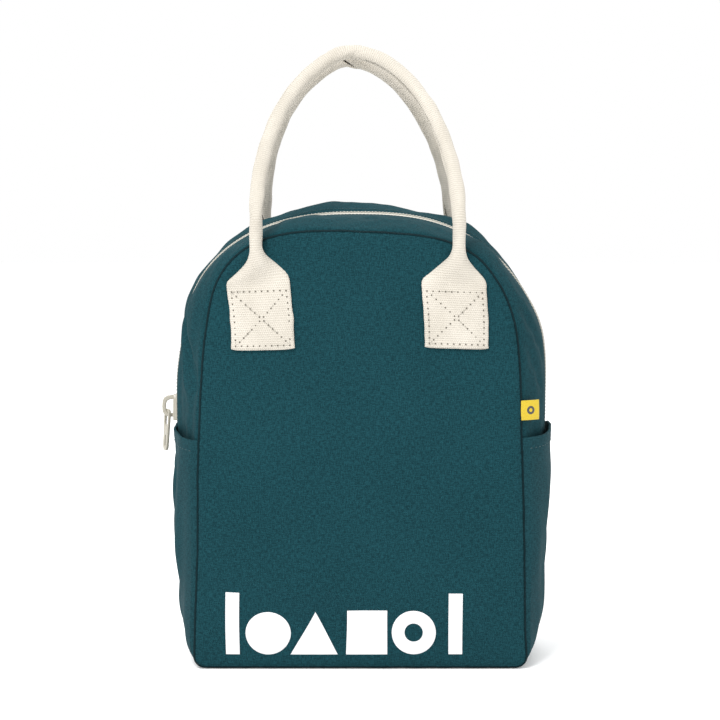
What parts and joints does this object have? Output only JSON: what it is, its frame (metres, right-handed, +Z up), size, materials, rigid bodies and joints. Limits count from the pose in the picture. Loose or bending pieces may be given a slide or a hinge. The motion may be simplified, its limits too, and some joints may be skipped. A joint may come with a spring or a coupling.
{
  "type": "zip lunch bag",
  "caption": "Soft arched lunch bag of canvas with a zip over the top, open side pockets, webbing handles and a washable lining.",
  "frame": {"origin": "middle of the flat bottom, where the bag stands", "axes": "+X to the wearer's right when the front is seen, -Y out of the front panel, +Z up along the handles"},
  "size_m": [0.2371, 0.125, 0.3663],
  "materials": {
    "canvas": "matte woven cotton canvas, teal",
    "lining": "smooth coated lining, pale",
    "webbing": "ribbed cotton webbing, cream",
    "zip_tape": "woven tape, cream",
    "zip_teeth": "satin moulded teeth, ivory",
    "zip_metal": "ivory enamel",
    "label": "woven label, yellow"
  },
  "bodies": {
    "bag_body": {"bottom_panel": "canvas", "front_panel_lower": "canvas", "back_panel": "canvas", "side_gusset_left": "canvas", "side_gusset_right": "canvas", "side_pocket_left": "canvas", "side_pocket_right": "canvas", "back_gusset_strip": "canvas", "back_zip_tape": "zip_tape", "back_zip_teeth": "zip_teeth", "zip_top_stop_back": "zip_metal", "zip_bottom_stop": "zip_metal", "back_patch_left": "webbing", "back_patch_right": "webbing", "lining_front_lower": "lining", "lining_back": "lining", "lining_side_left": "lining", "lining_side_right": "lining", "lining_bottom": "lining", "lining_back_strip": "lining"},
    "front_flap": {"front_panel_upper": "canvas", "front_gusset_strip": "canvas", "front_zip_tape": "zip_tape", "front_zip_teeth": "zip_teeth", "zip_top_stop_front": "zip_metal", "front_patch_left": "webbing", "front_patch_right": "webbing", "side_label": "label", "lining_front_upper": "lining", "lining_front_strip": "lining"},
    "front_handle": {"front_handle_strap": "webbing"},
    "back_handle": {"back_handle_strap": "webbing"},
    "zip_slider": {"zip_slider_body": "zip_metal"},
    "zip_pull": {"zip_pull_tab": "zip_metal"}
  },
  "joints": [
    {"name": "mouth_fold", "type": "hinge", "parent": "bag_body", "child": "front_flap", "pos_m": [0, -0.0585, 0.137], "axis": [1, 0, 0], "range_deg": [0, 30]},
    {"name": "front_handle_swing", "type": "hinge", "parent": "front_flap", "child": "front_handle", "pos_m": [0, -0.0586, 0.2223], "axis": [1, 0, 0], "range_deg": [0, 160]},
    {"name": "back_handle_swing", "type": "hinge", "parent": "bag_body", "child": "back_handle", "pos_m": [0, 0.0586, 0.2223], "axis": [-1, 0, 0], "range_deg": [0, 160]},
    {"name": "zip_slide", "type": "slide", "parent": "bag_body", "child": "zip_slider", "axis": [0, 0, 1], "range_m": [0, 0.02]},
    {"name": "pull_swing", "type": "hinge", "parent": "zip_slider", "child": "zip_pull", "pos_m": [-0.1162, 0, 0.1468], "axis": [0, 1, 0], "range_deg": [0, 160]}
  ]
}
